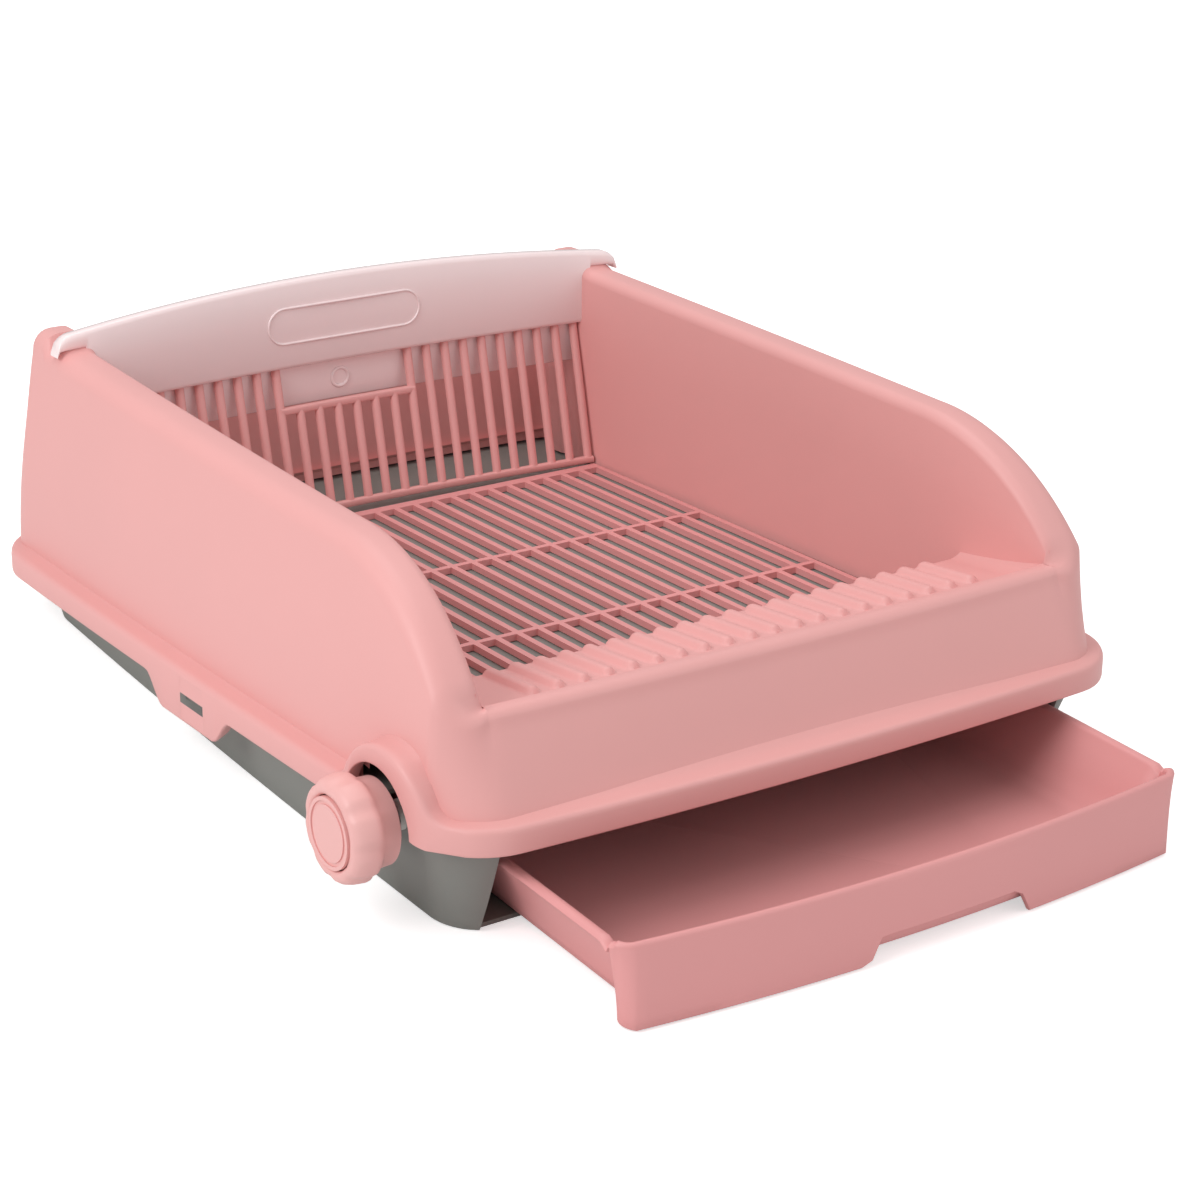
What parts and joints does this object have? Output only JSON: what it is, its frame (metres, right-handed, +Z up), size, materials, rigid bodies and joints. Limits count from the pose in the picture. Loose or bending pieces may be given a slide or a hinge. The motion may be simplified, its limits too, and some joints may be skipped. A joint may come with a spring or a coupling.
{
  "type": "drawer litter box",
  "caption": "Open-top cat litter box with high side walls, a turning side knob that lifts an inner sieve grate, and a pull-out waste drawer in a grey base.",
  "frame": {"origin": "centre of the base's flat underside, on the floor", "axes": "+Z up, -Y towards the front that the drawer leaves by, +X to the right as seen from the front"},
  "size_m": [0.4901, 0.6516, 0.198],
  "materials": {
    "base_grey": "satin moulded",
    "bush_plastic": "natural acetal",
    "drawer_pink": "satin moulded",
    "grate_plastic": "satin moulded",
    "knob_pink": "satin moulded",
    "panel_pink": "semi-gloss moulded",
    "shell_pink": "satin moulded",
    "steel": "zinc plated"
  },
  "bodies": {
    "base": {"base_tub": "base_grey", "litter_pan": "base_grey", "shaft_bush_left": "bush_plastic", "shaft_bush_right": "bush_plastic"},
    "drawer": {"drawer_tray": "drawer_pink"},
    "lifter": {"drive_shaft": "steel", "shaft_clip": "steel", "knob": "knob_pink", "knob_cap": "knob_pink", "knob_screw": "steel", "sieve_grate": "grate_plastic", "grate_screws": "steel"},
    "shell": {"upper_shell": "shell_pink", "rear_grille": "drawer_pink"},
    "panel": {"back_panel": "panel_pink"}
  },
  "joints": [
    {"name": "drawer_slide", "type": "slide", "parent": "base", "child": "drawer", "axis": [0, -1, 0], "range_m": [-0.1, 0.15]},
    {"name": "sieve_turn", "type": "hinge", "parent": "base", "child": "lifter", "pos_m": [0, -0.205, 0.0584], "axis": [1, 0, 0], "range_deg": [0, 40]},
    {"name": "shell_lift", "type": "slide", "parent": "base", "child": "shell", "axis": [0, 0.0584, 0.9983], "range_m": [0, 0.12]},
    {"name": "panel_lift", "type": "slide", "parent": "shell", "child": "panel", "axis": [0, 0.0584, 0.9983], "range_m": [0, 0.1]}
  ]
}
